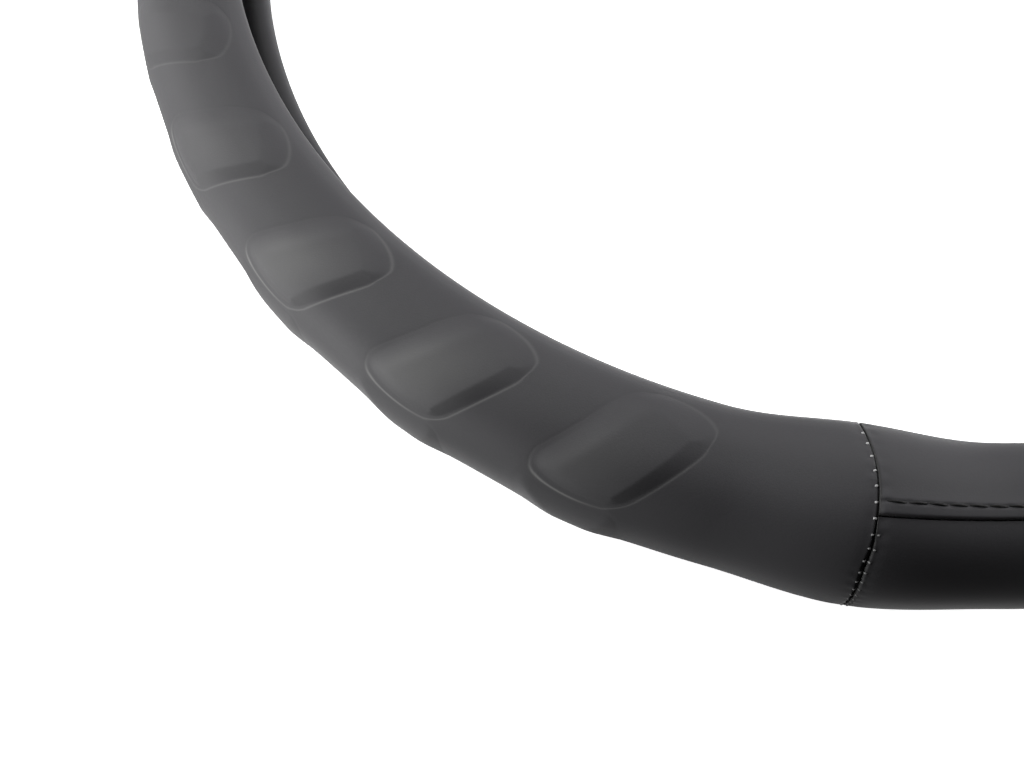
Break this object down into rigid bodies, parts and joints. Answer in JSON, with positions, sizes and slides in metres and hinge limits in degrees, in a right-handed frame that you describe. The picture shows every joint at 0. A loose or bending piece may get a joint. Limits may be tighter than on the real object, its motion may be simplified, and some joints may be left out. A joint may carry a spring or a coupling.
{
  "type": "steering wheel cover",
  "caption": "Slip-on ring cover of C section for a steering wheel rim, soft leather-like skin with raised grip pads, cross seams and a rubber liner.",
  "frame": {"origin": "on the ground at the centre of the ring, which lies on its back", "axes": "+Z along the wheel axis out of the front face, -Y towards six o'clock, +X towards the right hand grip"},
  "size_m": [0.383, 0.3806, 0.0392],
  "materials": {
    "grip_leather": "satin charcoal microfibre leather",
    "padding_foam": "matt open-cell foam",
    "liner_rubber": "matt moulded rubber"
  },
  "bodies": {
    "root": {"inner_grip_ring": "liner_rubber", "left_grip_foam": "padding_foam", "right_grip_foam": "padding_foam", "bottom_foam": "padding_foam", "top_foam": "padding_foam", "left_grip_panel": "grip_leather", "right_grip_panel": "grip_leather", "bottom_front_panel": "grip_leather", "bottom_back_panel": "grip_leather", "top_front_panel": "grip_leather", "top_back_panel": "grip_leather"}
  },
  "joints": []
}
